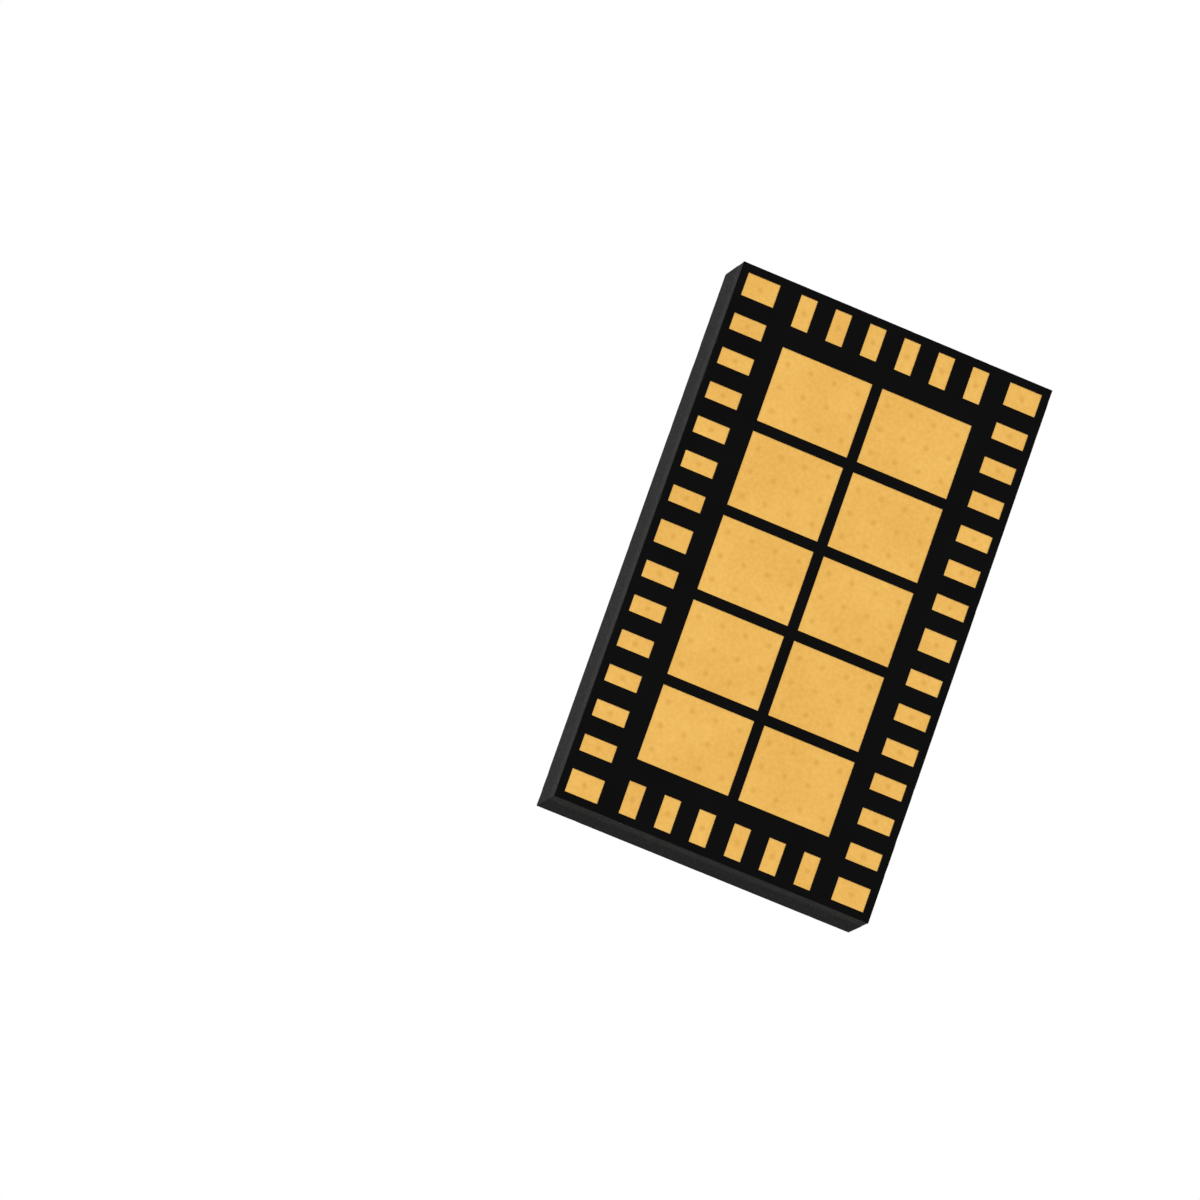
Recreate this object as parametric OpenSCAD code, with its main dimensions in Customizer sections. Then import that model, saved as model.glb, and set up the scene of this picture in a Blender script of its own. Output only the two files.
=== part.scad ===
// A land-grid radio module: an etched laminate that carries five dies and their chip parts,
// overmoulded in black epoxy and sawn out of its panel. Its lands lie on the seating plane,
// and the marked face looks up.

/* [Package] */
// Width of the package, across its short side
package_w = 4.0; // [3.8:0.05:4.6]
// Length of the package, along its long side
package_l = 6.8; // [6.6:0.05:8]
// Height of the package, from the seating plane to the marked face
package_h = 0.80; // [0.75:0.01:1.1]

/* [Dot at land 1] */
// Diameter of the white dot on the marked face
dot_d = 0.47; // [0.3:0.01:0.6]
// Depth of the ink in the marked face
dot_t = 0.012; // [0.008:0.001:0.03]
// Centre of the dot from the long side
dot_from_side = 0.49; // [0.4:0.01:0.7]
// Centre of the dot from the end
dot_from_end = 0.45; // [0.4:0.01:0.7]

/* [Lands] */
// Clear margin between a land and the sawn edge
land_margin = 0.10; // [0.08:0.01:0.14]
// Length of an edge land, square to its edge
land_l = 0.41; // [0.35:0.01:0.45]
// Width of a row land, along its edge
land_w = 0.21; // [0.18:0.01:0.24]
// Width of the corner and middle lands, along the long side
wide_land_w = 0.29; // [0.24:0.01:0.34]
// Pitch of the lands along the long sides
side_pitch = 0.44; // [0.42:0.005:0.5]
// Pitch of the lands along the ends
end_pitch = 0.445; // [0.42:0.005:0.5]
// Least clear gap between the last row land and the corner land
corner_gap = 0.20; // [0.15:0.01:0.3]
// Clear channel between the edge lands and the ground lands
ground_channel = 0.267; // [0.2:0.001:0.35]
// Web between two ground lands
ground_web = 0.13; // [0.1:0.005:0.2]
// Columns of ground lands
ground_columns = 2; // [2:1:3]
// Rows of ground lands
ground_rows = 5; // [4:1:6]
// Lap of the solder mask over the rim of the copper round each land
mask_lap = 0.03; // [0.02:0.005:0.04]
// Thickness of the nickel and gold plating in each mask window
plating_t = 0.006; // [0.003:0.001:0.01]

/* [Laminate] */
// Thickness of the solder mask over the copper
mask_t = 0.020; // [0.012:0.001:0.03]
// Thickness of each copper layer
copper_t = 0.018; // [0.012:0.001:0.025]
// Thickness of each prepreg sheet
prepreg_t = 0.05; // [0.04:0.005:0.08]
// Thickness of the core sheet
core_t = 0.10; // [0.06:0.01:0.15]
// Setback of the inner copper from the sawn edges
copper_setback = 0.10; // [0.06:0.01:0.15]
// Gap etched between the ground island and the supply ring
island_gap = 0.10; // [0.06:0.01:0.14]

/* [Vias] */
// Diameter of the via over each edge land
land_via_d = 0.10; // [0.07:0.01:0.12]
// Diameter of the capture pad on each of those vias
capture_d = 0.20; // [0.16:0.01:0.22]
// Clear ring round a via where it passes inner copper
via_clearance = 0.05; // [0.04:0.005:0.06]
// Diameter of the thermal vias over the ground lands
thermal_via_d = 0.10; // [0.07:0.01:0.14]
// Pitch of the thermal vias
thermal_pitch = 0.30; // [0.25:0.01:0.5]
// Setback of the thermal vias' centres from the edge of their ground land
thermal_inset = 0.12; // [0.1:0.01:0.2]
// Diameter of the vias under the die paddles
paddle_via_d = 0.08; // [0.06:0.01:0.12]
// Pitch of the vias under the die paddles
paddle_pitch = 0.22; // [0.2:0.01:0.4]

/* [Dies] */
// Width of the high-band amplifier die
high_die_w = 1.20; // [1:0.05:1.3]
// Length of the high-band amplifier die
high_die_l = 0.90; // [0.7:0.05:1]
// Width of the low-band amplifier die
low_die_w = 1.10; // [0.9:0.05:1.3]
// Length of the low-band amplifier die
low_die_l = 1.00; // [0.8:0.05:1.1]
// Thickness of the amplifier dies
amplifier_die_t = 0.10; // [0.07:0.01:0.15]
// Width of the controller die
controller_die_w = 0.80; // [0.6:0.05:1]
// Length of the controller die
controller_die_l = 0.60; // [0.5:0.05:0.7]
// Thickness of the controller and switch dies
logic_die_t = 0.15; // [0.1:0.01:0.2]
// Width of each switch die
switch_die_w = 0.90; // [0.7:0.05:1]
// Length of each switch die
switch_die_l = 0.70; // [0.6:0.05:0.8]
// Gap between the two switch dies
switch_gap = 0.20; // [0.15:0.01:0.3]
// Clear gap between one row of parts and the next
row_gap = 0.25; // [0.15:0.01:0.3]
// Thickness of the adhesive under a wire-bonded die
attach_t = 0.02; // [0.01:0.005:0.03]
// Margin of a die paddle round its die
paddle_margin = 0.06; // [0.03:0.01:0.08]

/* [Bond wires] */
// Diameter of the gold wire
wire_d = 0.025; // [0.018:0.001:0.03]
// Pitch of the bond wires along a die
wire_pitch = 0.15; // [0.12:0.01:0.25]
// Setback of the wire's ball from the edge of its die
ball_inset = 0.07; // [0.05:0.005:0.09]
// Diameter of the ball on the die
ball_d = 0.055; // [0.045:0.005:0.07]
// Height of the ball on the die
ball_t = 0.014; // [0.01:0.001:0.02]
// Straight height of the wire over its ball
neck_h = 0.03; // [0.02:0.005:0.05]
// Radius of the wire's bend, on its centre line
bend_r = 0.05; // [0.035:0.005:0.07]
// Gap between a die and its bond fingers
finger_gap = 0.18; // [0.14:0.01:0.22]
// Length of a bond finger
finger_l = 0.20; // [0.14:0.01:0.22]
// Width of a bond finger
finger_w = 0.08; // [0.06:0.005:0.1]
// Diameter of the flattened stitch on the finger
stitch_d = 0.05; // [0.04:0.005:0.055]
// Height of the flattened stitch on the finger
stitch_t = 0.01; // [0.006:0.001:0.012]

/* [Copper pillars] */
// Diameter of a pillar under a switch die
pillar_d = 0.07; // [0.05:0.005:0.09]
// Height of the copper in a pillar
pillar_h = 0.045; // [0.03:0.005:0.06]
// Diameter of the solder cap under a pillar
cap_d = 0.085; // [0.06:0.005:0.1]
// Height of the solder cap under a pillar
cap_h = 0.02; // [0.01:0.005:0.03]
// Pitch of the pillars
pillar_pitch = 0.22; // [0.18:0.01:0.3]
// Least setback of a pillar's centre from the edge of its die
pillar_inset = 0.11; // [0.08:0.01:0.15]
// Diameter of the pad under a pillar
bump_pad_d = 0.11; // [0.1:0.005:0.13]

/* [Chip parts] */
// Length of a chip capacitor
capacitor_l = 0.40; // [0.36:0.01:0.44]
// Width and height of a chip capacitor
capacitor_w = 0.20; // [0.18:0.01:0.22]
// Length of the metal band on each end of a capacitor
capacitor_band = 0.10; // [0.07:0.01:0.12]
// Capacitors in the column along each long side
capacitors_per_side = 6; // [4:1:7]
// Pitch of the capacitors in their column
capacitor_pitch = 0.64; // [0.62:0.01:0.7]
// Clear gap between the capacitors and the capture pads
capacitor_gap = 0.12; // [0.08:0.01:0.14]
// Length of a chip inductor
inductor_l = 0.60; // [0.55:0.01:0.65]
// Width and height of a chip inductor
inductor_w = 0.30; // [0.27:0.01:0.33]
// Length of the metal band on each end of an inductor
inductor_band = 0.15; // [0.1:0.01:0.18]
// Gap between the two inductors of a row
inductor_gap = 0.28; // [0.24:0.01:0.35]
// Thickness of the metal on a chip's ends
band_t = 0.008; // [0.005:0.001:0.01]
// Thickness of the solder under a chip
solder_t = 0.02; // [0.01:0.005:0.03]
// Run of a solder fillet, out from the chip's end
fillet_run = 0.05; // [0.04:0.005:0.06]
// Rise of a solder fillet, up the chip's end
fillet_rise = 0.09; // [0.06:0.01:0.12]

/* [Hidden] */
$fn = 24;
// Facets round the dot, whose rim shows
dot_facets = 72;
SIDES = [-1, 1];
// How far a cutter runs past the face that it opens
through = 0.01;
// Steps of the hollow face of a solder fillet, in degrees
fillet_step = 30;

// Heights of the layers, from the seating plane up
land_copper_z = mask_t;
lower_prepreg_z = land_copper_z + copper_t;
core_z = lower_prepreg_z + prepreg_t;
upper_prepreg_z = core_z + core_t;
top_copper_z = upper_prepreg_z + prepreg_t;
die_side_z = top_copper_z + copper_t + mask_t;

// Centres of the edge lands, from the middle of the package
edge_x = package_w/2 - land_margin - land_l/2;
edge_y = package_l/2 - land_margin - land_l/2;
corner_y = package_l/2 - land_margin - wide_land_w/2;
side_count = floor((corner_y - wide_land_w - corner_gap)/side_pitch);
end_count = floor((edge_x - land_l/2 - corner_gap - land_w/2)/end_pitch + 1/2);
side_offsets = [for (i = [1:side_count]) wide_land_w/2 + i*side_pitch - land_w/2];
end_offsets = [for (i = [1:end_count]) (i - 1/2)*end_pitch];

// Every edge land as [x, y, size across, size along]
function side_row(side) = [for (s = SIDES, y = side_offsets) [side*edge_x, s*y, land_l, land_w]];
function end_row(end) = [for (s = SIDES, x = end_offsets) [s*x, end*edge_y, land_w, land_l]];
corner_set = [for (x = SIDES, y = SIDES) [x*edge_x, y*corner_y, land_l, wide_land_w]];
middle_set = [for (x = SIDES) [x*edge_x, 0, land_l, wide_land_w]];
signal_set = concat(side_row(-1), side_row(1), end_row(-1), end_row(1), corner_set);
edge_set = concat(signal_set, middle_set);

// Positions of n copies, a pitch apart and centred on zero, and how many of them fit in a span
function spread(n, pitch) = [for (i = [0:n - 1]) (i - (n - 1)/2)*pitch];
function fits(span, inset, pitch) = floor((span - 2*inset)/pitch) + 1;
function fill(span, inset, pitch) = spread(fits(span, inset, pitch), pitch);

// The ground lands, as a field split by webs
ground_field_w = 2*(edge_x - land_l/2 - ground_channel);
ground_field_l = 2*(edge_y - land_l/2 - ground_channel);
ground_land_w = (ground_field_w - (ground_columns - 1)*ground_web)/ground_columns;
ground_land_l = (ground_field_l - (ground_rows - 1)*ground_web)/ground_rows;
ground_set = [for (x = spread(ground_columns, ground_land_w + ground_web),
                   y = spread(ground_rows, ground_land_l + ground_web))
              [x, y, ground_land_w, ground_land_l]];
thermal_set = [for (g = ground_set, x = fill(ground_land_w, thermal_inset, thermal_pitch),
                    y = fill(ground_land_l, thermal_inset, thermal_pitch)) [g.x + x, g.y + y]];

// The rows of parts on the die side, counted from land 1's end, and the length that each takes up
controller_row = 0;
high_inductor_row = 1;
high_band_row = 2;
low_band_row = 3;
low_inductor_row = 4;
switch_row = 5;
ROWS = [controller_die_l, inductor_w, high_die_l, low_die_l, inductor_w, switch_die_l];
function total(sizes, n) = n == 0 ? 0 : sizes[n - 1] + total(sizes, n - 1);
rows_l = total(ROWS, len(ROWS)) + (len(ROWS) - 1)*row_gap;
function row_y(i) = rows_l/2 - total(ROWS, i) - i*row_gap - ROWS[i]/2;

// Every wire-bonded die as [x, y, width, length, thickness]
CONTROLLER = [0, row_y(controller_row), controller_die_w, controller_die_l, logic_die_t];
HIGH_BAND = [0, row_y(high_band_row), high_die_w, high_die_l, amplifier_die_t];
LOW_BAND = [0, row_y(low_band_row), low_die_w, low_die_l, amplifier_die_t];
BONDED = [CONTROLLER, HIGH_BAND, LOW_BAND];

// The middle of each switch die, and its pillars as [x, y] from there
switch_x = (switch_die_w + switch_gap)/2;
switch_y = row_y(switch_row);
pillar_set = [for (x = fill(switch_die_w, pillar_inset, pillar_pitch),
                   y = fill(switch_die_l, pillar_inset, pillar_pitch)) [x, y]];

// Chip parts as [x, y, turn]
capacitor_x = edge_x - capture_d/2 - capacitor_gap - capacitor_w/2;
capacitor_set = [for (x = SIDES, y = spread(capacitors_per_side, capacitor_pitch))
                 [x*capacitor_x, y, 90]];
inductor_set = [for (row = [high_inductor_row, low_inductor_row],
                     x = SIDES*(inductor_l + inductor_gap)/2) [x, row_y(row), 0]];

// A flat block, centred across and along, from height z up
module plate(w, l, z, t) {
    translate([-w/2, -l/2, z]) cube([w, l, t]);
}

module at(places) {
    for (p = places) translate([p.x, p.y, 0]) children();
}

module cylinders(places, d, z, h) {
    at(places) translate([0, 0, z]) cylinder(d = d, h = h);
}

// Copper that runs under the mask all round, with plating where the mask leaves it open
module lands(places) {
    color("#EDBB61") for (p = places) translate([p.x, p.y, 0]) {
        plate(p[2] + 2*mask_lap, p[3] + 2*mask_lap, land_copper_z, copper_t);
        plate(p[2], p[3], land_copper_z - plating_t, plating_t);
    }
}

module land_windows(places) {
    for (p = places) translate([p.x, p.y, 0]) plate(p[2], p[3], -through, mask_t + through);
}

module left_row_lands() {
    lands(side_row(-1));
}

module right_row_lands() {
    lands(side_row(1));
}

module near_end_lands() {
    lands(end_row(-1));
}

module far_end_lands() {
    lands(end_row(1));
}

module corner_lands() {
    lands(corner_set);
}

module middle_lands() {
    lands(middle_set);
}

// One copper plane behind all the ground windows, plated in each of them
module ground_lands() {
    color("#EDBB61") {
        plate(ground_field_w + 2*mask_lap, ground_field_l + 2*mask_lap, land_copper_z, copper_t);
        for (g = ground_set) translate([g.x, g.y, 0])
            plate(g[2], g[3], land_copper_z - plating_t, plating_t);
    }
}

module bottom_mask() {
    color("#0B0B0C") difference() {
        plate(package_w, package_l, 0, lower_prepreg_z);
        land_windows(concat(edge_set, ground_set));
        lands(edge_set);
        ground_lands();
    }
}

// Copper-filled vias, from each edge land up to its capture pad
module land_vias() {
    color("#B87333") cylinders(edge_set, land_via_d, lower_prepreg_z, top_copper_z - lower_prepreg_z);
}

module thermal_vias() {
    color("#B87333")
        cylinders(thermal_set, thermal_via_d, lower_prepreg_z, upper_prepreg_z - lower_prepreg_z);
}

module paddle_vias() {
    color("#B87333") for (die = BONDED) translate([die.x, die.y, 0])
        for (x = fill(die[2], paddle_via_d, paddle_pitch), y = fill(die[3], paddle_via_d, paddle_pitch))
            translate([x, y, upper_prepreg_z + copper_t])
                cylinder(d = paddle_via_d, h = prepreg_t - copper_t);
}

// Inner copper stays back from the saw, and opens round each via that it isn't joined to
module inner_ground_plane() {
    color("#B87333") difference() {
        plate(package_w - 2*copper_setback, package_l - 2*copper_setback, upper_prepreg_z, copper_t);
        via_openings(edge_set, upper_prepreg_z);
    }
}

module via_openings(places, z) {
    cylinders(places, land_via_d + 2*via_clearance, z - through, copper_t + 2*through);
}

module inner_ground_island() {
    color("#B87333") difference() {
        plate(ground_field_w, ground_field_l, core_z - copper_t, copper_t);
        thermal_vias();
    }
}

// The middle lands feed the ring, so their vias touch it and the others pass clear
module inner_supply_ring() {
    color("#B87333") difference() {
        plate(package_w - 2*copper_setback, package_l - 2*copper_setback, core_z - copper_t, copper_t);
        plate(ground_field_w + 2*island_gap, ground_field_l + 2*island_gap,
              core_z - copper_t - through, copper_t + 2*through);
        via_openings(signal_set, core_z - copper_t);
        land_vias();
    }
}

module lower_prepreg() {
    color("#33332F") difference() {
        plate(package_w, package_l, lower_prepreg_z, prepreg_t);
        inner_ground_island();
        inner_supply_ring();
        land_vias();
        thermal_vias();
    }
}

module laminate_core() {
    color("#3A3A35") difference() {
        plate(package_w, package_l, core_z, core_t);
        land_vias();
        thermal_vias();
    }
}

module upper_prepreg() {
    color("#33332F") difference() {
        plate(package_w, package_l, upper_prepreg_z, prepreg_t);
        inner_ground_plane();
        land_vias();
        paddle_vias();
    }
}

// Top copper: the pads that carry parts are built up flush with the mask
module top_pad(w, l) {
    plate(w, l, top_copper_z, copper_t + mask_t);
}

module capture_pads() {
    color("#B87333") cylinders(edge_set, capture_d, top_copper_z, copper_t);
}

module die_paddles() {
    color("#EDBB61") for (die = BONDED) translate([die.x, die.y, 0])
        top_pad(die[2] + 2*paddle_margin, die[3] + 2*paddle_margin);
}

module bond_fingers() {
    color("#EDBB61") for (die = BONDED) translate([die.x, die.y, 0])
        for (s = SIDES, y = wire_ys(die))
            translate([s*(die[2]/2 + finger_gap + finger_l/2), y, 0]) top_pad(finger_l, finger_w);
}

module chip_pads() {
    color("#EDBB61") {
        chip_pad_pairs(capacitor_set, capacitor_l, capacitor_w, capacitor_band);
        chip_pad_pairs(inductor_set, inductor_l, inductor_w, inductor_band);
    }
}

module chip_pad_pairs(places, l, w, band) {
    for (p = places) translate([p.x, p.y, 0]) rotate(p[2]) for (s = SIDES)
        translate([s*(l - band + fillet_run)/2, 0, 0]) top_pad(band + fillet_run, w);
}

module bump_pads() {
    color("#EDBB61") for (s = SIDES) translate([s*switch_x, switch_y, 0])
        cylinders(pillar_set, bump_pad_d, top_copper_z, copper_t + mask_t);
}

module top_mask() {
    color("#0B0B0C") difference() {
        plate(package_w, package_l, top_copper_z, copper_t + mask_t);
        capture_pads();
        die_paddles();
        bond_fingers();
        chip_pads();
        bump_pads();
    }
}

// Wire-bonded dies, each on a sheet of adhesive on its paddle
module die_attach(die) {
    color("#8C8F93") translate([die.x, die.y, 0]) plate(die[2], die[3], die_side_z, attach_t);
}

module bonded_die(die) {
    translate([die.x, die.y, 0]) plate(die[2], die[3], die_side_z + attach_t, die[4]);
}

module controller_die_attach() {
    die_attach(CONTROLLER);
}

module high_band_die_attach() {
    die_attach(HIGH_BAND);
}

module low_band_die_attach() {
    die_attach(LOW_BAND);
}

module controller_die() {
    color("#5A6270") bonded_die(CONTROLLER);
}

module high_band_amplifier_die() {
    color("#4C4A55") bonded_die(HIGH_BAND);
}

module low_band_amplifier_die() {
    color("#4C4A55") bonded_die(LOW_BAND);
}

// Bond wires leave their ball upright, bend over, and run straight down to the finger
function wire_ys(die) = fill(die[3], ball_inset, wire_pitch);

module bond_wire(die_top, reach) {
    bend_z = die_top + ball_t + neck_h;
    across = reach - bend_r;
    down = bend_z - wire_d/2;
    slope = atan2(down, across) + asin(bend_r/norm([across, down]));
    run = across*cos(slope) + down*sin(slope);
    translate([0, 0, die_top]) cylinder(d = ball_d, h = ball_t);
    translate([0, 0, die_top + ball_t]) cylinder(d = wire_d, h = neck_h);
    translate([bend_r, 0, bend_z]) rotate([90, 0, 0]) rotate(90 - slope)
        rotate_extrude(angle = 90 + slope) translate([bend_r, 0]) circle(d = wire_d);
    translate([bend_r + bend_r*sin(slope), 0, bend_z + bend_r*cos(slope)])
        rotate([0, 90 + slope, 0]) cylinder(d = wire_d, h = run);
    translate([reach, 0, 0]) cylinder(d = stitch_d, h = stitch_t);
}

module bond_wires(die) {
    color("#F2C14E") translate([die.x, die.y, die_side_z])
        for (turn = [0, 180], y = wire_ys(die)) rotate(turn) translate([die[2]/2 - ball_inset, y, 0])
            bond_wire(attach_t + die[4], ball_inset + finger_gap + finger_l/2);
}

module controller_bond_wires() {
    bond_wires(CONTROLLER);
}

module high_band_bond_wires() {
    bond_wires(HIGH_BAND);
}

module low_band_bond_wires() {
    bond_wires(LOW_BAND);
}

// Switch dies, face down on copper pillars
module at_switch(side) {
    translate([side*switch_x, switch_y, die_side_z]) children();
}

module switch_die(side) {
    color("#5A6270") at_switch(side) plate(switch_die_w, switch_die_l, cap_h + pillar_h, logic_die_t);
}

module switch_pillars(side) {
    color("#B87333") at_switch(side) cylinders(pillar_set, pillar_d, cap_h, pillar_h);
}

module band_switch_die() {
    switch_die(-1);
}

module antenna_switch_die() {
    switch_die(1);
}

module band_switch_pillars() {
    switch_pillars(-1);
}

module antenna_switch_pillars() {
    switch_pillars(1);
}

module pillar_solder() {
    color("#C9CCD1") for (s = SIDES) at_switch(s) cylinders(pillar_set, cap_d, 0, cap_h);
}

// Chip parts lie along their own X: a ceramic body, a metal cup on each end, and the solder
module chip_body(l, w) {
    plate(l - 2*band_t, w - 2*band_t, solder_t + band_t, w - 2*band_t);
}

module chip_bands(l, w, band) {
    difference() {
        for (s = SIDES) translate([s*(l - band)/2, 0, 0]) plate(band, w, solder_t, w);
        chip_body(l, w);
    }
}

module chip_solder(l, w, band) {
    top = solder_t + fillet_rise;
    hollow = [for (a = [0:fillet_step:90]) [fillet_run*(1 - sin(a)), top*(1 - cos(a))]];
    for (turn = [0, 180]) rotate(turn) translate([l/2, w/2, 0]) rotate([90, 0, 0])
        linear_extrude(w) polygon(concat([[-band, 0]], hollow, [[0, solder_t], [-band, solder_t]]));
}

module at_chips(places) {
    for (p = places) translate([p.x, p.y, die_side_z]) rotate(p[2]) children();
}

module capacitor_bodies() {
    color("#B9A27C") at_chips(capacitor_set) chip_body(capacitor_l, capacitor_w);
}

module capacitor_end_bands() {
    color("#C9CCD1") at_chips(capacitor_set) chip_bands(capacitor_l, capacitor_w, capacitor_band);
}

module inductor_bodies() {
    color("#E8E6DF") at_chips(inductor_set) chip_body(inductor_l, inductor_w);
}

module inductor_end_bands() {
    color("#C9CCD1") at_chips(inductor_set) chip_bands(inductor_l, inductor_w, inductor_band);
}

module chip_solder_joints() {
    color("#B4B8BE") {
        at_chips(capacitor_set) chip_solder(capacitor_l, capacitor_w, capacitor_band);
        at_chips(inductor_set) chip_solder(inductor_l, inductor_w, inductor_band);
    }
}

// White ink, level with the face in its shallow round seat
module pin1_dot() {
    color("white") translate([dot_from_side - package_w/2, package_l/2 - dot_from_end, package_h - dot_t])
        cylinder(d = dot_d, h = dot_t, $fn = dot_facets);
}

// Epoxy fills every space round the parts, under the switch dies too
module overmould() {
    color("#141415") difference() {
        plate(package_w, package_l, die_side_z, package_h - die_side_z);
        pin1_dot();
        for (die = BONDED) {
            die_attach(die);
            bonded_die(die);
            bond_wires(die);
        }
        for (s = SIDES) {
            switch_die(s);
            switch_pillars(s);
        }
        pillar_solder();
        capacitor_bodies();
        capacitor_end_bands();
        inductor_bodies();
        inductor_end_bands();
        chip_solder_joints();
    }
}

overmould();
pin1_dot();
top_mask();
upper_prepreg();
laminate_core();
lower_prepreg();
bottom_mask();
left_row_lands();
right_row_lands();
near_end_lands();
far_end_lands();
corner_lands();
middle_lands();
ground_lands();
inner_ground_plane();
inner_ground_island();
inner_supply_ring();
land_vias();
thermal_vias();
paddle_vias();
capture_pads();
die_paddles();
bond_fingers();
chip_pads();
bump_pads();
controller_die();
high_band_amplifier_die();
low_band_amplifier_die();
band_switch_die();
antenna_switch_die();
controller_die_attach();
high_band_die_attach();
low_band_die_attach();
controller_bond_wires();
high_band_bond_wires();
low_band_bond_wires();
band_switch_pillars();
antenna_switch_pillars();
pillar_solder();
capacitor_bodies();
capacitor_end_bands();
inductor_bodies();
inductor_end_bands();
chip_solder_joints();
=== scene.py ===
import math

import bmesh
import bpy
from mathutils import Matrix, Vector, noise


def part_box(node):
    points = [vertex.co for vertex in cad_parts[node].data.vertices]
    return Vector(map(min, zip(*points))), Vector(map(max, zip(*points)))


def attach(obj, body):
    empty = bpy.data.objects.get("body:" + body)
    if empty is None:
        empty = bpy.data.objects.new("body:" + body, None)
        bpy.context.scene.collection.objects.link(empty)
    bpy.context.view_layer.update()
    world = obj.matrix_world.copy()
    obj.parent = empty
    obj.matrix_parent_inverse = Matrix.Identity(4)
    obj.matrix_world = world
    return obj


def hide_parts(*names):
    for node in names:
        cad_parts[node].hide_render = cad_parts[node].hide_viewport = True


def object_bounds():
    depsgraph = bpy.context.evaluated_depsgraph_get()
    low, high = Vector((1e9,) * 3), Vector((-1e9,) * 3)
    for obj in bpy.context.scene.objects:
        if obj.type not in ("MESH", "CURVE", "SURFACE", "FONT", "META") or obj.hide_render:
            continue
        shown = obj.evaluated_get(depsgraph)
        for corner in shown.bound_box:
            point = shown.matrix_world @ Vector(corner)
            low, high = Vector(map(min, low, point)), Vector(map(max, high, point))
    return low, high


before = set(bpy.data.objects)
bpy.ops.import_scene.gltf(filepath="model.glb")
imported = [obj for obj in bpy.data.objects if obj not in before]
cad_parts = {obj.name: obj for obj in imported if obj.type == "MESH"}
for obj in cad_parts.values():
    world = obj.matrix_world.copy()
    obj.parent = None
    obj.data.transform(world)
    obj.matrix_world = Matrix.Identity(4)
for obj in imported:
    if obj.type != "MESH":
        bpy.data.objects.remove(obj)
cad_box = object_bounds()
scene = bpy.context.scene
scene.view_settings.view_transform = "Standard"

# Camera
# The drawing shows the land side turned a little clockwise, with the +X wall on its left and the -Y wall
# below it. The part lies on its lands, so the camera looks up at it, through a floor that hides nothing.
IMAGE_SIZE = 1200
DRAWN_MIDDLE_X = 806
DRAWN_MIDDLE_Y = 591
DRAWN_PIXELS_PER_METRE = 86000
DRAWN_TURN = math.radians(21)
CAMERA_TILT = math.radians(18)
TILT_AXIS_TURN = math.radians(37)
LENS = 300
SENSOR = 36
NEAREST_SHOWN = 0.005
FARTHEST_SHOWN = 2

tilt_axis = (math.cos(TILT_AXIS_TURN), math.sin(TILT_AXIS_TURN), 0)
look_up = Matrix.Rotation(math.pi, 3, "Y")
aim = Matrix.Rotation(-CAMERA_TILT, 3, tilt_axis) @ look_up @ Matrix.Rotation(DRAWN_TURN, 3, "Z")
pixels_off_middle = Vector((DRAWN_MIDDLE_X - IMAGE_SIZE / 2, IMAGE_SIZE / 2 - DRAWN_MIDDLE_Y, 0))
reach = Vector((0, 0, IMAGE_SIZE / DRAWN_PIXELS_PER_METRE * LENS / SENSOR))
camera_place = aim @ (reach - pixels_off_middle / DRAWN_PIXELS_PER_METRE)

camera = bpy.data.objects.new("camera", bpy.data.cameras.new("camera"))
camera.data.lens = LENS
camera.data.sensor_width = SENSOR
camera.data.clip_start = NEAREST_SHOWN
camera.data.clip_end = FARTHEST_SHOWN
camera.matrix_world = Matrix.Translation(camera_place) @ aim.to_4x4()
scene.collection.objects.link(camera)
scene.camera = camera


# Light
# A wide key lamp and a weaker fill over the part, and the same under it for the land side. The world is
# white where it is seen, straight or in a reflection, and grey where it only lights.
class Value:
    """A socket in a node tree. Arithmetic on it adds the Math nodes that work it out."""

    def __init__(self, tree, socket):
        self.tree = tree
        self.socket = socket

    def other(self, output):
        """Another output of the same node."""
        return Value(self.tree, named(self.socket.node.outputs, output))

    def __add__(self, value):
        return self.tree.math("ADD", self, value)

    def __radd__(self, value):
        return self.tree.math("ADD", value, self)

    def __sub__(self, value):
        return self.tree.math("SUBTRACT", self, value)

    def __rsub__(self, value):
        return self.tree.math("SUBTRACT", value, self)

    def __mul__(self, value):
        return self.tree.math("MULTIPLY", self, value)

    def __rmul__(self, value):
        return self.tree.math("MULTIPLY", value, self)

    def __truediv__(self, value):
        return self.tree.math("DIVIDE", self, value)

    def __rtruediv__(self, value):
        return self.tree.math("DIVIDE", value, self)

    def __abs__(self):
        return self.tree.math("ABSOLUTE", self)


def named(sockets, name):
    """The socket of that name or number, or the first one that is in use."""
    if isinstance(name, int):
        return sockets[name]
    return next(s for s in sockets if s.enabled and name in (s.name, None))


class Tree:
    """The node tree of a material or of the world."""

    def __init__(self, owner):
        owner.use_nodes = True
        self.nodes = owner.node_tree.nodes
        self.links = owner.node_tree.links
        self.nodes.clear()

    def node(self, kind, settings=None, values=None):
        """Adds a node: its settings first, then a value or a link for each of its sockets."""
        node = self.nodes.new("ShaderNode" + kind)
        for name, setting in (settings or {}).items():
            setattr(node, name, setting)
        for name, value in (values or {}).items():
            if isinstance(value, Value):
                self.links.new(value.socket, named(node.inputs, name))
            else:
                named(node.inputs, name).default_value = value
        return Value(self, named(node.outputs, None)) if node.outputs else None

    def math(self, operation, *values):
        return self.node("Math", {"operation": operation}, dict(enumerate(values)))


WHITE = (1, 1, 1, 1)
AMBIENT = 0.42
UPPER_KEY = 2.4
LOWER_KEY = 1.75
FILL = 0.4
KEY_SPREAD = math.radians(35)
FILL_SPREAD = math.radians(60)

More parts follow.
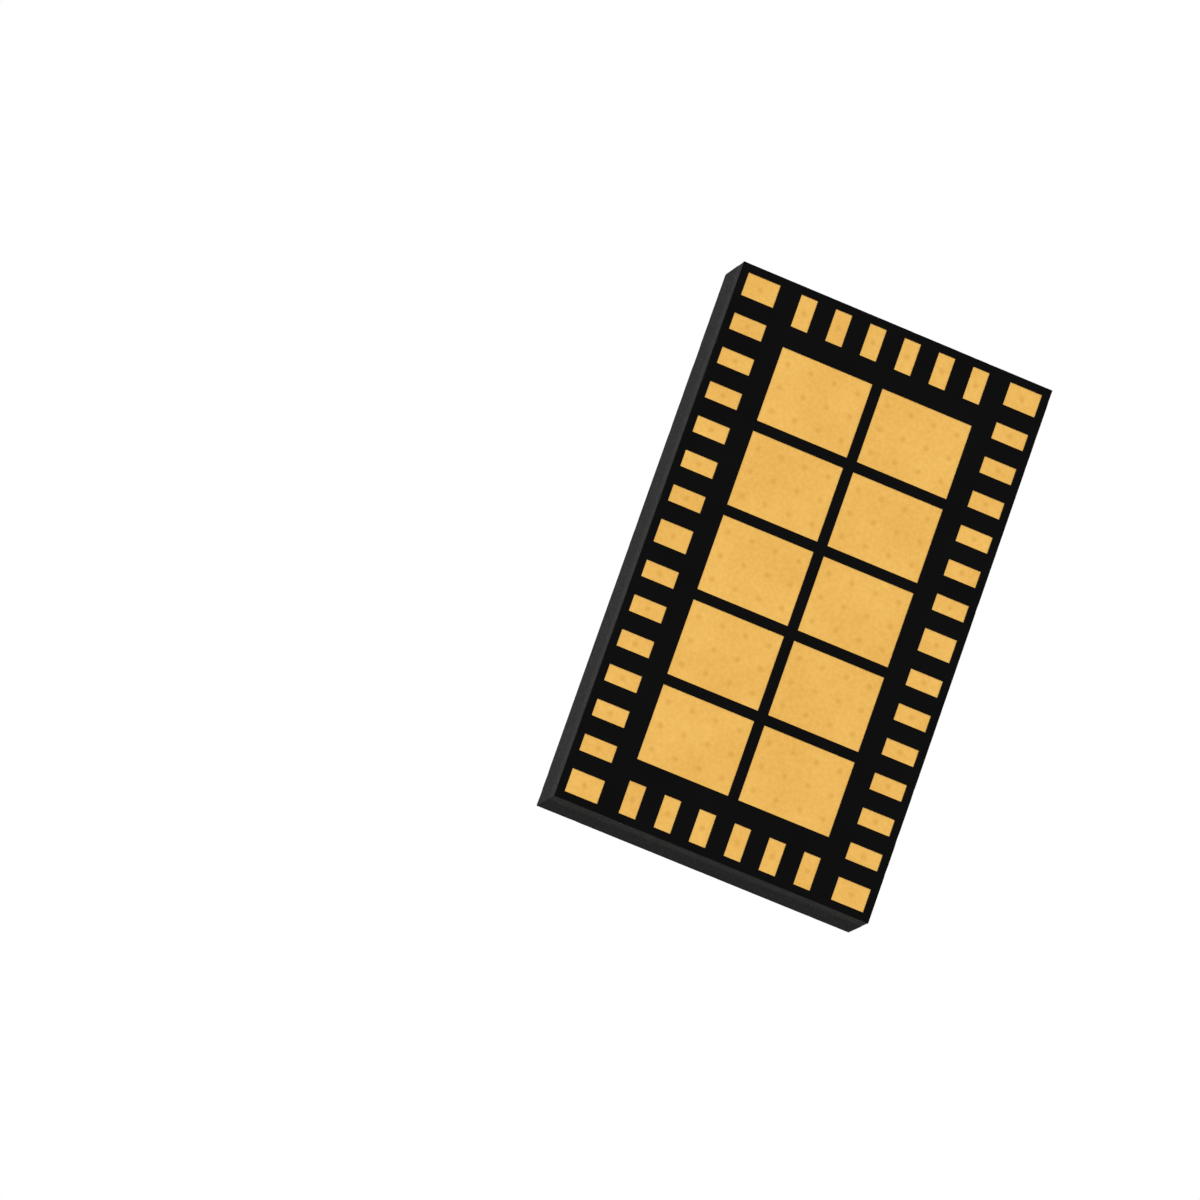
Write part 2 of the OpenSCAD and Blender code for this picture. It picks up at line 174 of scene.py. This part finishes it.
world = bpy.data.worlds.new("studio")
scene.world = world
studio = Tree(world)
ray = studio.node("LightPath")
seen = ray.other("Is Camera Ray") + ray.other("Is Glossy Ray") + ray.other("Is Transmission Ray")
lighting = studio.node("Background", None, {"Color": WHITE, "Strength": AMBIENT})
backdrop = studio.node("Background", None, {"Color": WHITE, "Strength": 1})
studio.node("OutputWorld", None, {
    "Surface": studio.node("MixShader", None, {0: seen, 1: lighting, 2: backdrop}),
})

for name, towards, strength, spread in (
    ("upper_key", (-0.80, 0.10, 0.50), UPPER_KEY, KEY_SPREAD),
    ("upper_fill", (0.55, -0.30, 0.60), FILL, FILL_SPREAD),
    ("lower_key", (0.80, 0.20, -0.55), LOWER_KEY, KEY_SPREAD),
    ("lower_fill", (-0.60, 0.50, -0.10), FILL, FILL_SPREAD),
):
    light = bpy.data.lights.new(name, "SUN")
    light.energy = strength
    light.angle = spread
    lamp = bpy.data.objects.new(name, light)
    lamp.rotation_euler = Vector(towards).to_track_quat("Z", "Y").to_euler()
    scene.collection.objects.link(lamp)

# Floor
# A pale sheet of paper under the part, which fades into the white far off. It shows from above only, and
# neither shades nor colours the part, so the land side is lit and seen as if the part were held up.
PAPER_TONE = (0.93, 0.93, 0.93, 1)
FLOOR_REACH = 0.4
FADE_FROM = 0.015
FLOOR_GAP = 2e-6

paper_material = bpy.data.materials.new("pale_paper")
paper = Tree(paper_material)
underside = paper.node("NewGeometry").other("Backfacing")
far_off = paper.node("VectorMath", {"operation": "LENGTH"}, {0: paper.node("TexCoord").other("Object")})
faded = paper.node("MapRange", {"interpolation_type": "SMOOTHSTEP"}, {
    "Value": far_off, "From Min": FADE_FROM, "From Max": FLOOR_REACH,
})
top_side = paper.node("BsdfDiffuse", None, {"Color": PAPER_TONE})
shown = paper.node("MixShader", None, {
    0: paper.math("MAXIMUM", underside, faded), 1: top_side, 2: paper.node("BsdfTransparent"),
})
paper.node("OutputMaterial", None, {"Surface": shown})

shape = bmesh.new()
bmesh.ops.create_grid(shape, x_segments=1, y_segments=1, size=FLOOR_REACH)
bmesh.ops.translate(shape, verts=shape.verts, vec=(0, 0, cad_box[0].z - FLOOR_GAP))
floor = bpy.data.objects.new("floor", bpy.data.meshes.new("floor"))
shape.to_mesh(floor.data)
shape.free()
floor.data.materials.append(paper_material)
floor.visible_shadow = False
floor.visible_diffuse = False
floor.visible_glossy = False
scene.collection.objects.link(floor)

# Laminate sheets
# Black glass-epoxy: a core of two plies between two single-ply prepreg sheets, pressed together and
# sawn with the rest. Only their cut edges show, where the weave of the glass cloth comes out paler.
MM_PER_METRE = 1000
MICROMETRE = 1e-6


class Finish(Tree):
    """A material. Its lengths are millimetres in the part's own frame, and its relief micrometres."""

    def __init__(self, name):
        self.material = bpy.data.materials.new(name)
        super().__init__(self.material)
        object_place = self.node("TexCoord").other("Object")
        values = {0: object_place, "Scale": MM_PER_METRE}
        self.place = self.node("VectorMath", {"operation": "SCALE"}, values)
        self.x, self.y, self.z = self.split(self.place)

    def split(self, vector):
        parts = self.node("SeparateXYZ", None, {0: vector})
        return parts, parts.other("Y"), parts.other("Z")

    def grain(self, size, detail=2, place=None):
        """Soft noise about 0.5, with lumps of that size."""
        values = {"Vector": place or self.place, "Scale": 1 / size, "Detail": detail}
        return self.node("TexNoise", None, values)

    def step(self, value, low, high):
        """0 at low and 1 at high, with a smooth slope between them."""
        values = {"Value": value, "From Min": low, "From Max": high}
        return self.node("MapRange", {"interpolation_type": "SMOOTHSTEP"}, values)

    def blend(self, share, first, second):
        return self.node("Mix", {"data_type": "RGBA"}, {"Factor": share, "A": first, "B": second})

    def relief(self, height):
        return self.node("Bump", None, {"Strength": 1, "Distance": MICROMETRE, "Height": height})

    def surface(self, values):
        self.node("OutputMaterial", None, {"Surface": self.node("BsdfPrincipled", None, values)})


BLADE_RADIUS = 28
STREAK_LENGTH = 0.9
STREAK_WIDTH = 0.014
LONG_WALL_SHIFT = 5
END_WALL_SHIFT = 9


def sawn(finish):
    """Adds to a finish the way along its sawn walls, and the long shallow arcs that the blade leaves."""
    across_x, across_y, _ = finish.split(finish.node("TexCoord").other("Normal"))
    finish.along = abs(across_x) * finish.y + abs(across_y) * finish.x
    arc = finish.z + finish.along * finish.along / (2 * BLADE_RADIUS)
    streak_place = finish.node("CombineXYZ", None, {
        "X": finish.along / STREAK_LENGTH,
        "Y": arc / STREAK_WIDTH,
        "Z": across_x * LONG_WALL_SHIFT + across_y * END_WALL_SHIFT,
    })
    finish.streaks = finish.grain(size=1, detail=3, place=streak_place)


BUNDLE_PITCH = 0.27
BUNDLE_HALF_WIDTH = 0.115
BUNDLE_HALF_HEIGHT = 0.0085
BUNDLE_CORE = 0.5
BUNDLE_FRINGE = 1.2
CRIMP = 0.0095
RUNNING_YARN_HALF = 0.005
PLY_SHIFT = 0.37
WANDER = 0.16
WANDER_LENGTH = 0.6
FILAMENT = 0.012
RESIN_GRAIN = 0.02
GLASS_RELIEF = 2
RESIN_RELIEF = 2
LAYER_SAW_RELIEF = 5
CUT_GLASS = (0.080, 0.083, 0.072, 1)
CUT_RESIN_DARK = (0.013, 0.013, 0.012, 1)
CUT_RESIN_PALE = (0.036, 0.037, 0.034, 1)

half_w, half_l, full_h = (MM_PER_METRE * size for size in cad_box[1])
first_ply, second_ply = (MM_PER_METRE * corner.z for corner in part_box("lower_prepreg"))
ply_height = second_ply - first_ply

laminate = Finish("black_glass_epoxy")
sawn(laminate)
plies_up = (laminate.z - first_ply) / ply_height
ply = laminate.math("FLOOR", plies_up)
above_middle = (plies_up - ply - 0.5) * ply_height
run = laminate.along / BUNDLE_PITCH + ply * PLY_SHIFT + laminate.grain(WANDER_LENGTH) * WANDER
crimp = laminate.math("COSINE", run * math.pi) * CRIMP
off_bundle = (run - laminate.math("ROUND", run)) * (BUNDLE_PITCH / BUNDLE_HALF_WIDTH)
off_bundle_up = (above_middle - crimp) / BUNDLE_HALF_HEIGHT
out_of_bundle = off_bundle * off_bundle + off_bundle_up * off_bundle_up
bundle = laminate.step(out_of_bundle, BUNDLE_FRINGE, BUNDLE_CORE)
running_yarn = laminate.step(abs(above_middle + crimp), RUNNING_YARN_HALF, RUNNING_YARN_HALF / 2)
filaments = laminate.step(laminate.grain(FILAMENT), low=0.3, high=0.65)
glass = laminate.math("MAXIMUM", bundle, running_yarn) * filaments
cut_resin = laminate.blend(laminate.streaks, CUT_RESIN_DARK, CUT_RESIN_PALE)
laminate_saw_marks = laminate.streaks * LAYER_SAW_RELIEF
laminate.surface({
    "Base Color": laminate.blend(glass, cut_resin, CUT_GLASS),
    "Roughness": 0.9 - glass * 0.15,
    "Specular IOR Level": 0.02,
    "Normal": laminate.relief(
        glass * GLASS_RELIEF + laminate_saw_marks + laminate.grain(RESIN_GRAIN) * RESIN_RELIEF),
})

MERGED = 1e-4
FLAT = math.radians(1)
CREASE = math.radians(30)
SHARP = math.radians(60)
WALL_LEAN = 0.5
CORNER_EASE = 0.010
EASE_SEGMENTS = 2
CHIP_PITCH = 0.025
CHIPPED_BAND = 0.011
FRAY = 0.005
FRAY_LENGTH = 0.04
CHIP = 0.028
CHIP_LENGTH = 0.16
CHIP_RARITY = 0.25
DEEPEST_CHIP = 0.014


def cad_shape(node):
    """A CAD node's form, in millimetres, with its triangles merged and its creases sharp."""
    shape = bmesh.new()
    shape.from_mesh(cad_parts[node].data)
    bmesh.ops.scale(shape, verts=shape.verts, vec=Vector((1, 1, 1)) * MM_PER_METRE)
    bmesh.ops.remove_doubles(shape, verts=shape.verts, dist=MERGED)
    shape.normal_update()
    for e in shape.edges:
        e.smooth = e.calc_face_angle(0) < CREASE
    return shape


def flatten(shape, faces):
    """Makes flat stretches of those faces single faces again, in the same order on every run."""
    verts = list(dict.fromkeys(v for f in faces for v in f.verts))
    edges = list(dict.fromkeys(e for f in faces for e in f.edges))
    bmesh.ops.dissolve_limit(shape, verts=verts, edges=edges, angle_limit=FLAT)


def ease(shape, edges, width):
    """Rounds those edges over."""
    bmesh.ops.bevel(shape, geom=edges, affect="EDGES", offset=width, segments=EASE_SEGMENTS,
                    profile=0.5, material=-1, clamp_overlap=True)


def depths(vertex):
    """How far a point lies inside the long walls and inside the end walls."""
    return half_w - abs(vertex.co.x), half_l - abs(vertex.co.y)


def at_height(vertex, height):
    """Whether a point lies at that height. Without a height, none does."""
    return height is not None and abs(vertex.co.z - height) < MERGED


def outer_rims(shape, height):
    """The edges at that height between a face and a sawn wall."""
    return [e for e in shape.edges if e.calc_face_angle(0) > SHARP
            and all(at_height(v, height) and min(depths(v)) < MERGED for v in e.verts)]


def chip(shape, outer_face):
    """Frays the eased rim of a sawn edge, and breaks small hollow chips out of it."""
    inwards = 1 if outer_face < full_h / 2 else -1
    for v in shape.verts:
        across, along = depths(v)
        below = abs(v.co.z - outer_face)
        if min(across, along) < CHIPPED_BAND and below < CHIPPED_BAND:
            frayed = FRAY * abs(noise.noise(v.co / FRAY_LENGTH))
            broken = CHIP * max(0, noise.noise(v.co / CHIP_LENGTH) - CHIP_RARITY)
            off = min(frayed + broken, DEEPEST_CHIP)
            if min(across, along) > MERGED:
                v.co.x -= math.copysign(off if across < CHIPPED_BAND else 0, v.co.x)
                v.co.y -= math.copysign(off if along < CHIPPED_BAND else 0, v.co.y)
            if below > MERGED:
                v.co.z += inwards * off


def saw(shape, outer_face=None):
    """Eases a layer's four sawn corners, and eases and chips the rim of its outer face, if it has one."""
    walls = [f for f in shape.faces
             if abs(f.normal.z) < WALL_LEAN and all(min(depths(v)) < MERGED for v in f.verts)]
    level = [f for f in shape.faces if all(at_height(v, outer_face) for v in f.verts)]
    flatten(shape, walls + level)
    for rim in outer_rims(shape, outer_face):
        bmesh.ops.subdivide_edges(shape, edges=[rim], cuts=round(rim.calc_length() / CHIP_PITCH))
    corners = [e for e in shape.edges if all(max(depths(v)) < MERGED for v in e.verts)
               and not at_height(e.verts[0], e.verts[1].co.z)]
    ease(shape, corners + outer_rims(shape, outer_face), CORNER_EASE)
    if outer_face is not None:
        chip(shape, outer_face)


def seat(shape, name, finish, node):
    """Makes a shape in millimetres a piece of the part, in place of the CAD node that it came from."""
    bmesh.ops.scale(shape, verts=shape.verts, vec=Vector((1, 1, 1)) / MM_PER_METRE)
    mesh = bpy.data.meshes.new(name)
    shape.to_mesh(mesh)
    shape.free()
    mesh.materials.append(finish.material)
    piece = bpy.data.objects.new(name, mesh)
    scene.collection.objects.link(piece)
    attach(piece, "root")
    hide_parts(node)


for name, node in (
    ("lower_sheet", "lower_prepreg"),
    ("core_sheet", "laminate_core"),
    ("upper_sheet", "upper_prepreg"),
):
    shape = cad_shape(node)
    saw(shape)
    seat(shape, name, laminate, node)

# Copper inside the laminate
# The rolled ground plane, island and supply ring lie between the pressed sheets. Filled vias run up
# through them, and capture pads close those of the edge lands on the die side. All of it is sealed in.
COPPER_DARK = (0.62, 0.22, 0.10, 1)
COPPER_PALE = (0.82, 0.33, 0.17, 1)
COPPER_STAIN = 0.35
COPPER_GLOSS_PATCH = 0.04
ETCHED_GRAIN = 0.02
ETCHED_RELIEF = 1.5


def dress(finish, *nodes):
    """Gives CAD nodes that stay as they are their finish."""
    for node in nodes:
        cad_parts[node].material_slots[0].material = finish.material


copper = Finish("etched_copper")
copper.surface({
    "Base Color": copper.blend(copper.grain(COPPER_STAIN, detail=3), COPPER_DARK, COPPER_PALE),
    "Metallic": 1,
    "Roughness": 0.32 + copper.grain(COPPER_GLOSS_PATCH) * 0.2,
    "Normal": copper.relief(copper.grain(ETCHED_GRAIN, detail=3) * ETCHED_RELIEF),
})
dress(copper, "inner_ground_plane", "inner_ground_island", "inner_supply_ring")
dress(copper, "land_vias", "thermal_vias", "paddle_vias", "capture_pads")

# Solder masks
# Black liquid resin, screened over both faces and cured. Over the copper it levels with a faint orange
# peel. The lower one is opened over every land, with a soft rim that the developer leaves.
WINDOW_EASE = 0.006
FACE_SKIN = 0.001
PAST_FACE_SKIN = 0.003
WALL_REACH = 0.05
PAST_WALL_REACH = 0.06
MASK_DARK = (0.0018, 0.0018, 0.0021, 1)
MASK_PALE = (0.0050, 0.0050, 0.0055, 1)
CUT_MASK_DARK = (0.011, 0.011, 0.011, 1)
CUT_MASK_PALE = (0.030, 0.030, 0.029, 1)
MASK_CLOUD = 0.7
MASK_GLOSS_PATCH = 0.05
PEEL = 0.16
PEEL_RELIEF = 6
MASK_GRAIN = 0.03
MASK_GRAIN_RELIEF = 1.2


def cut_back_and_rim_highlight(finish, face):
    """Adds to a finish where the saw or a chip has cut it back from its outer face, at that height. On
    the eased rims and chips its pale cut tone is also a painted highlight.
    """
    on_face = finish.step(abs(finish.z - face), PAST_FACE_SKIN, FACE_SKIN)
    across, along = half_w - abs(finish.x), half_l - abs(finish.y)
    inside = finish.step(finish.math("MINIMUM", across, along), WALL_REACH, PAST_WALL_REACH)
    finish.wall = 1 - finish.math("MAXIMUM", on_face, inside)


mask = Finish("black_solder_mask")
sawn(mask)
cut_back_and_rim_highlight(mask, MM_PER_METRE * cad_box[0].z)
cured_face = mask.blend(mask.grain(MASK_CLOUD, detail=3), MASK_DARK, MASK_PALE)
cut_mask = mask.blend(mask.streaks, CUT_MASK_DARK, CUT_MASK_PALE)
cured_relief = mask.grain(PEEL) * PEEL_RELIEF + mask.grain(MASK_GRAIN) * MASK_GRAIN_RELIEF
# Painted highlight: the eased and chipped rim takes the pale cut tone, partly to light the edges.
mask.surface({
    "Base Color": mask.blend(mask.wall, cured_face, cut_mask),
    "Roughness": 0.38 + mask.grain(MASK_GLOSS_PATCH) * 0.12 + mask.wall * 0.4,
    "Specular IOR Level": 0.03,
    "Normal": mask.relief((1 - mask.wall) * cured_relief + mask.wall * mask.streaks * LAYER_SAW_RELIEF),
})

shape = cad_shape("top_mask")
saw(shape)
seat(shape, "die_side_mask", mask, "top_mask")

shape = cad_shape("bottom_mask")
flatten(shape, shape.faces)
seating = min(v.co.z for v in shape.verts)
windows = [e for e in shape.edges if e.calc_face_angle(0) > SHARP
           and all(at_height(v, seating) and min(depths(v)) > MERGED for v in e.verts)]
ease(shape, windows, WINDOW_EASE)
saw(shape, seating)
seat(shape, "land_side_mask", mask, "bottom_mask")

# Lands
# Copper that the mask laps over all round, plated in each window with nickel and a flash of gold. The
# plating follows the copper's fine grain, and dishes a little where a filled via lies under it.
NET = 0.022
DISH_RADIUS = 0.065
DISH_DEPTH = 0.0035
THERMAL_PITCH = 0.30
THERMAL_COLUMNS = 4
THERMAL_ROWS = 3
PLATING_DARK = (0.76, 0.42, 0.09, 1)
PLATING_PALE = (0.86, 0.51, 0.128, 1)
DISH_PAINTED_SHADE = (0.62, 0.32, 0.06, 1)
PLATING_CLOUD = 0.8
PLATING_MOTTLE = 0.045
PLATING_GLOSS_PATCH = 0.12
PLATING_GRAIN = 0.028
PLATING_GRAIN_RELIEF = 1.8
PLATING_WAVE = 0.2
PLATING_WAVE_RELIEF = 2

plated_face = MM_PER_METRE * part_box("ground_lands")[0].z

gold = Finish("gold_plating")
cloudy = gold.step(gold.grain(PLATING_CLOUD, detail=3), low=0.3, high=0.7)
mottled = gold.step(gold.grain(PLATING_MOTTLE, detail=3), low=0.3, high=0.7)
# Painted shade: the plating is coloured darker in each dish over a via, as if shade lay in it.
dished = gold.step(gold.z, plated_face, plated_face + DISH_DEPTH)
plating_tone = gold.blend(cloudy * 0.5 + mottled * 0.5, PLATING_DARK, PLATING_PALE)
plating_grain = gold.grain(PLATING_GRAIN, detail=3) * PLATING_GRAIN_RELIEF
gold.surface({
    "Base Color": gold.blend(dished * 0.5, plating_tone, DISH_PAINTED_SHADE),
    "Metallic": 1,
    "Roughness": 0.32 + gold.grain(PLATING_GLOSS_PATCH, detail=3) * 0.14,
    "Normal": gold.relief(plating_grain + gold.grain(PLATING_WAVE) * PLATING_WAVE_RELIEF),
})


def spread_out(count):
    """Places of that many copies, one apart and centred on zero."""
    return [i - (count - 1) / 2 for i in range(count)]


def plated(node, columns=1, rows=1):
    """A node's lands. Each plated face is a fine net, dished over every via of the grid behind it."""
    shape = cad_shape(node)
    flatten(shape, shape.faces)
    shape.normal_update()
    plating = min(v.co.z for v in shape.verts)
    for land in [f for f in shape.faces if all(at_height(v, plating) for v in f.verts)]:
        middle = land.calc_center_median()
        vias = [middle + Vector((x, y, 0)) * THERMAL_PITCH
                for x in spread_out(columns) for y in spread_out(rows)]
        longest = max(e.calc_length() for e in land.edges)
        for e in land.edges:
            e.smooth = False
        net = bmesh.ops.subdivide_edges(shape, edges=land.edges, use_grid_fill=True,
                                        cuts=round(longest / NET))
        for v in {g for g in net["geom_inner"] if isinstance(g, bmesh.types.BMVert)}:
            nearness = max(0, 1 - min((v.co - via).length for via in vias) / DISH_RADIUS)
            v.co.z += DISH_DEPTH * nearness * nearness * (3 - 2 * nearness)
        for f in {g for g in net["geom_inner"] if isinstance(g, bmesh.types.BMFace)}:
            f.smooth = True
    return shape


for name, node in (
    ("left_lands", "left_row_lands"), ("right_lands", "right_row_lands"),
    ("near_lands", "near_end_lands"), ("far_lands", "far_end_lands"),
    ("wide_corner_lands", "corner_lands"), ("wide_middle_lands", "middle_lands"),
):
    seat(plated(node), name, gold, node)
seat(plated("ground_lands", THERMAL_COLUMNS, THERMAL_ROWS), "large_ground_lands", gold,
     "ground_lands")
dress(gold, "die_paddles", "bond_fingers", "chip_pads", "bump_pads")

# Dies
# Sawn and thinned chips: silicon for the controller and the two switches, gallium arsenide for the two
# amplifiers. The wire-bonded ones lie face up on grey adhesive, the switches face down.
CIRCUIT_BLOCKS_PER_MILLIMETRE = 14
DIE_GLOSS_PATCH = 0.1
ADHESIVE_DARK = (0.22, 0.23, 0.24, 1)
ADHESIVE_PALE = (0.48, 0.49, 0.51, 1)
ADHESIVE_FLAKE = 0.02
ADHESIVE_GLOSS_PATCH = 0.05
ADHESIVE_GRAIN = 0.015
ADHESIVE_RELIEF = 3

for name, dark, pale, nodes in (
    ("silicon", (0.05, 0.055, 0.075, 1), (0.16, 0.17, 0.21, 1),
     ("controller_die", "band_switch_die", "antenna_switch_die")),
    ("gallium_arsenide", (0.035, 0.03, 0.045, 1), (0.13, 0.12, 0.14, 1),
     ("high_band_amplifier_die", "low_band_amplifier_die")),
):
    die = Finish(name)
    circuit = die.node("TexVoronoi", {"distance": "CHEBYCHEV"},
                       {"Vector": die.place, "Scale": CIRCUIT_BLOCKS_PER_MILLIMETRE})
    blocks = die.step(circuit, low=0.25, high=0.45)
    die.surface({
        "Base Color": die.blend(blocks, pale, dark),
        "Roughness": 0.12 + die.grain(DIE_GLOSS_PATCH) * 0.1,
        "Normal": die.relief(blocks),
    })
    dress(die, *nodes)

adhesive = Finish("die_adhesive")
adhesive.surface({
    "Base Color": adhesive.blend(adhesive.grain(ADHESIVE_FLAKE, detail=3), ADHESIVE_DARK, ADHESIVE_PALE),
    "Roughness": 0.7 + adhesive.grain(ADHESIVE_GLOSS_PATCH) * 0.15,
    "Normal": adhesive.relief(adhesive.grain(ADHESIVE_GRAIN) * ADHESIVE_RELIEF),
})
dress(adhesive, "controller_die_attach", "high_band_die_attach", "low_band_die_attach")

# Bond wires and pillars
# Drawn gold wire from a ball on each die pad to a stitch on its finger, and plated copper pillars with
# solder caps under the two switch dies.
WIRE_DARK = (0.90, 0.54, 0.15, 1)
WIRE_PALE = (1.0, 0.66, 0.22, 1)
WIRE_CLOUD = 0.05
WIRE_GLOSS_PATCH = 0.02
DRAWN_GRAIN = 0.01
DRAWN_RELIEF = 0.5
SOLDER_DARK = (0.50, 0.52, 0.55, 1)
SOLDER_PALE = (0.66, 0.68, 0.70, 1)
SOLDER_CLOUD = 0.06
SOLDER_GLOSS_PATCH = 0.05
SOLDER_GRAIN = 0.03
SOLDER_RELIEF = 3

wire = Finish("bond_wire_gold")
wire.surface({
    "Base Color": wire.blend(wire.grain(WIRE_CLOUD), WIRE_DARK, WIRE_PALE),
    "Metallic": 1,
    "Roughness": 0.16 + wire.grain(WIRE_GLOSS_PATCH) * 0.1,
    "Normal": wire.relief(wire.grain(DRAWN_GRAIN) * DRAWN_RELIEF),
})
dress(wire, "controller_bond_wires", "high_band_bond_wires", "low_band_bond_wires")
dress(copper, "band_switch_pillars", "antenna_switch_pillars")

solder = Finish("solder")
solder.surface({
    "Base Color": solder.blend(solder.grain(SOLDER_CLOUD, detail=3), SOLDER_DARK, SOLDER_PALE),
    "Metallic": 1,
    "Roughness": 0.26 + solder.grain(SOLDER_GLOSS_PATCH) * 0.2,
    "Normal": solder.relief(solder.grain(SOLDER_GRAIN, detail=3) * SOLDER_RELIEF),
})
dress(solder, "pillar_solder", "chip_solder_joints")

# Chip parts
# Fired blocks of tan capacitor ceramic and white inductor ceramic, with tinned cups on their ends,
# soldered down on their pads.
CERAMIC_SPECK = 0.03
CERAMIC_GLOSS_PATCH = 0.04
CERAMIC_GRAIN = 0.02
CERAMIC_RELIEF = 1.5
TIN_DARK = (0.55, 0.57, 0.59, 1)
TIN_PALE = (0.70, 0.72, 0.74, 1)
TIN_CLOUD = 0.08
TIN_GLOSS_PATCH = 0.03
TIN_GRAIN = 0.02
TIN_RELIEF = 2

for name, dark, pale, node in (
    ("capacitor_ceramic", (0.40, 0.29, 0.15, 1), (0.55, 0.43, 0.26, 1), "capacitor_bodies"),
    ("inductor_ceramic", (0.70, 0.69, 0.64, 1), (0.84, 0.83, 0.79, 1), "inductor_bodies"),
):
    ceramic = Finish(name)
    ceramic.surface({
        "Base Color": ceramic.blend(ceramic.grain(CERAMIC_SPECK, detail=3), dark, pale),
        "Roughness": 0.45 + ceramic.grain(CERAMIC_GLOSS_PATCH) * 0.15,
        "Normal": ceramic.relief(ceramic.grain(CERAMIC_GRAIN) * CERAMIC_RELIEF),
    })
    dress(ceramic, node)

tin = Finish("tin_plating")
tin.surface({
    "Base Color": tin.blend(tin.grain(TIN_CLOUD, detail=3), TIN_DARK, TIN_PALE),
    "Metallic": 1,
    "Roughness": 0.34 + tin.grain(TIN_GLOSS_PATCH) * 0.2,
    "Normal": tin.relief(tin.grain(TIN_GRAIN, detail=3) * TIN_RELIEF),
})
dress(tin, "capacitor_end_bands", "inductor_end_bands")

# Overmould
# Black epoxy, full of round silica filler, pressed over the whole panel and then sawn through with it.
# Its moulded face has the fine grain of the mould, and its sawn walls show cut filler and blade marks.
DOT_SEAT_EASE = 0.003
MOULDED_DARK = (0.0028, 0.0028, 0.0033, 1)
MOULDED_PALE = (0.0088, 0.0088, 0.0096, 1)
MOULDED_FINES = (0.024, 0.024, 0.025, 1)
SAWN_DARK = (0.014, 0.0145, 0.014, 1)
SAWN_PALE = (0.044, 0.045, 0.044, 1)
SAWN_FINES = (0.048, 0.050, 0.048, 1)
SAWN_FILLER = (0.070, 0.072, 0.068, 1)
FILLER_PITCH = 0.025
LARGEST_FILLER = 0.5
MOULDED_CLOUD = 0.5
MOULDED_SPECK = 0.013
SAWN_SPECK = 0.011
EPOXY_GLOSS_PATCH = 0.08
MOULD_GRAIN = 0.035
MOULD_GRAIN_RELIEF = 10
MOULD_WAVE = 0.3
MOULD_WAVE_RELIEF = 8
EPOXY_SAW_RELIEF = 6

epoxy = Finish("mould_epoxy")
sawn(epoxy)
cut_back_and_rim_highlight(epoxy, full_h)

moulded_fines = epoxy.step(epoxy.grain(MOULDED_SPECK, detail=3), low=0.42, high=0.70)
moulded_face = epoxy.blend(epoxy.grain(MOULDED_CLOUD, detail=4), MOULDED_DARK, MOULDED_PALE)
moulded_face = epoxy.blend(moulded_fines * 0.6, moulded_face, MOULDED_FINES)
moulded_relief = (epoxy.grain(MOULD_GRAIN, detail=3) * MOULD_GRAIN_RELIEF
                  + epoxy.grain(MOULD_WAVE) * MOULD_WAVE_RELIEF)

filler = epoxy.node("TexVoronoi", None, {"Vector": epoxy.place, "Scale": 1 / FILLER_PITCH})
filler_size, filler_tone, _ = epoxy.split(filler.other("Color"))
cut_filler = epoxy.step(filler_size * LARGEST_FILLER - filler, low=-0.03, high=0.06) * filler_tone
sawn_fines = epoxy.step(epoxy.grain(SAWN_SPECK, detail=1), low=0.48, high=0.68)
sawn_face = epoxy.blend(epoxy.streaks, SAWN_DARK, SAWN_PALE)
sawn_face = epoxy.blend(sawn_fines * 0.6, sawn_face, SAWN_FINES)
sawn_face = epoxy.blend(cut_filler, sawn_face, SAWN_FILLER)
sawn_relief = epoxy.streaks * EPOXY_SAW_RELIEF + cut_filler

# Painted highlight: the eased and chipped rims take the pale sawn tone, partly to light the edges and the
# chips' shade.
epoxy.surface({
    "Base Color": epoxy.blend(epoxy.wall, moulded_face, sawn_face),
    "Roughness": 0.72 + epoxy.grain(EPOXY_GLOSS_PATCH) * 0.15 + epoxy.wall * 0.1,
    "Specular IOR Level": 0.002,
    "Normal": epoxy.relief((1 - epoxy.wall) * moulded_relief + epoxy.wall * sawn_relief),
})

shape = cad_shape("overmould")
top = max(v.co.z for v in shape.verts)
saw(shape, top)
dot_seat = [e for e in shape.edges
            if e.calc_face_angle(0) > SHARP and all(at_height(v, top) for v in e.verts)]
ease(shape, dot_seat, DOT_SEAT_EASE)
seat(shape, "mould_body", epoxy, "overmould")

# Dot at land 1
# White ink, printed into the shallow seat that marks land 1 and cured flush with the moulded face.
# Its skin keeps a fine grain and a slow ripple.
INK_DARK = (0.84, 0.84, 0.82, 1)
INK_PALE = (0.93, 0.93, 0.91, 1)
INK_CLOUD = 0.05
INK_GLOSS_PATCH = 0.03
INK_GRAIN = 0.02
INK_GRAIN_RELIEF = 3
INK_RIPPLE = 0.12
INK_RIPPLE_RELIEF = 4

ink = Finish("white_ink")
ink_grain = ink.grain(INK_GRAIN, detail=3) * INK_GRAIN_RELIEF
ink.surface({
    "Base Color": ink.blend(ink.grain(INK_CLOUD, detail=3), INK_DARK, INK_PALE),
    "Roughness": 0.6 + ink.grain(INK_GLOSS_PATCH) * 0.15,
    "Specular IOR Level": 0.3,
    "Normal": ink.relief(ink_grain + ink.grain(INK_RIPPLE) * INK_RIPPLE_RELIEF),
})

shape = cad_shape("pin1_dot")
flatten(shape, shape.faces)
top = max(v.co.z for v in shape.verts)
ease(shape, [e for e in shape.edges if all(at_height(v, top) for v in e.verts)], DOT_SEAT_EASE)
seat(shape, "land_1_dot", ink, "pin1_dot")
